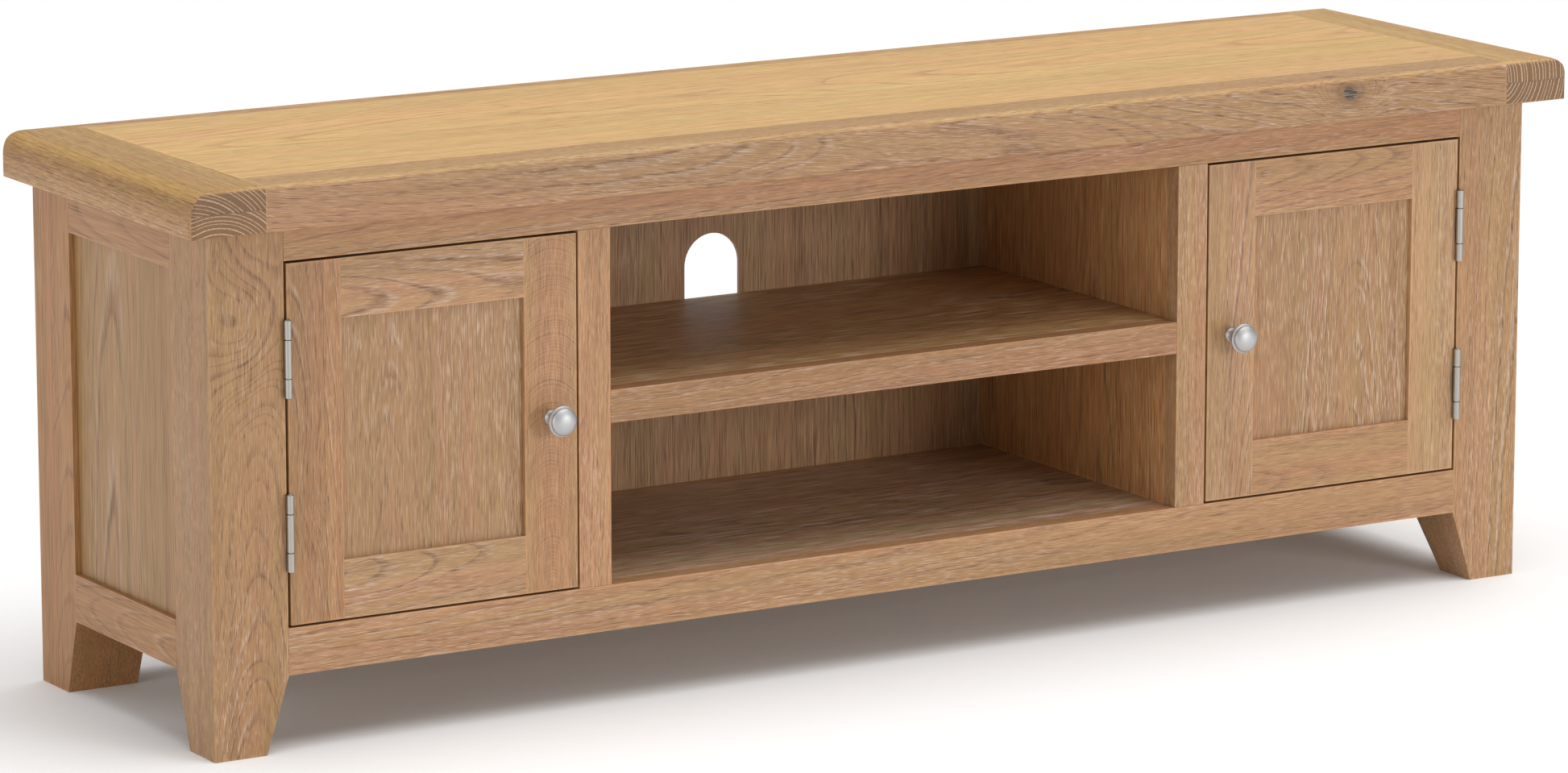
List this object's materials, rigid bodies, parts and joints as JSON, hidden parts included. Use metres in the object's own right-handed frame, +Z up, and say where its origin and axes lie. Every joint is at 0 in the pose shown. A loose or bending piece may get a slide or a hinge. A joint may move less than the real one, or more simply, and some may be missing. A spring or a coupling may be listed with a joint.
{
  "type": "media cabinet",
  "caption": "Low oak media cabinet with an open shelved middle bay, a rear cable slot and a hinged framed door with a knob at each side.",
  "frame": {"origin": "on the floor under the middle of the cabinet", "axes": "+X to the right along the width, the doors face -Y, +Z up"},
  "size_m": [1.5, 0.39, 0.522],
  "materials": {
    "oak_top": "honey oak, satin lacquer, long grain along the width",
    "oak_top_frame": "honey oak edge boards, satin lacquer",
    "oak_frame": "limed oak, white in the pores, matt lacquer",
    "oak_side": "limed oak, white in the pores, matt lacquer",
    "oak_door": "limed oak door frames, matt lacquer",
    "oak_door_panel": "limed oak door panels, matt lacquer",
    "oak_inside": "oak inside boards, matt lacquer",
    "satin_nickel": "satin nickel plate",
    "hinge_steel": "satin nickel plated steel",
    "catch_plastic": "brown moulded plastic"
  },
  "bodies": {
    "carcass": {"top_centre_board": "oak_top", "top_front_rail": "oak_top_frame", "top_rear_rail": "oak_top_frame", "top_end_board_left": "oak_top_frame", "top_end_board_right": "oak_top_frame", "post_front_left": "oak_frame", "post_front_right": "oak_frame", "post_rear_left": "oak_side", "post_rear_right": "oak_side", "front_top_rail": "oak_frame", "front_bottom_rail": "oak_frame", "rear_top_rail": "oak_frame", "rear_bottom_rail": "oak_frame", "side_top_rail_left": "oak_side", "side_top_rail_right": "oak_side", "side_bottom_rail_left": "oak_side", "side_bottom_rail_right": "oak_side", "side_panel_left": "oak_side", "side_panel_right": "oak_side", "centre_stile_left": "oak_frame", "centre_stile_right": "oak_frame", "divider_left": "oak_inside", "divider_right": "oak_inside", "shelf": "oak_inside", "shelf_lip": "oak_frame", "bottom_panel": "oak_inside", "back_panel": "oak_inside", "catch_left": "catch_plastic", "catch_right": "catch_plastic", "hinge_frame_leaf_left_upper": "hinge_steel", "hinge_pin_left_upper": "hinge_steel", "hinge_frame_leaf_left_lower": "hinge_steel", "hinge_pin_left_lower": "hinge_steel", "hinge_frame_leaf_right_upper": "hinge_steel", "hinge_pin_right_upper": "hinge_steel", "hinge_frame_leaf_right_lower": "hinge_steel", "hinge_pin_right_lower": "hinge_steel"},
    "left_door": {"door_hinge_stile_left": "oak_door", "door_knob_stile_left": "oak_door", "door_top_rail_left": "oak_door", "door_bottom_rail_left": "oak_door", "door_panel_left": "oak_door_panel", "knob_left": "satin_nickel", "knob_screw_left": "hinge_steel", "catch_plate_left": "hinge_steel", "hinge_door_leaf_left_upper": "hinge_steel", "hinge_door_leaf_left_lower": "hinge_steel"},
    "right_door": {"door_hinge_stile_right": "oak_door", "door_knob_stile_right": "oak_door", "door_top_rail_right": "oak_door", "door_bottom_rail_right": "oak_door", "door_panel_right": "oak_door_panel", "knob_right": "satin_nickel", "knob_screw_right": "hinge_steel", "catch_plate_right": "hinge_steel", "hinge_door_leaf_right_upper": "hinge_steel", "hinge_door_leaf_right_lower": "hinge_steel"}
  },
  "joints": [
    {"name": "left_door_hinge", "type": "hinge", "parent": "carcass", "child": "left_door", "pos_m": [-0.6427, -0.1678, 0.2805], "axis": [0, 0, -1], "range_deg": [0, 180]},
    {"name": "right_door_hinge", "type": "hinge", "parent": "carcass", "child": "right_door", "pos_m": [0.6427, -0.1678, 0.2805], "axis": [0, 0, 1], "range_deg": [0, 180]}
  ]
}
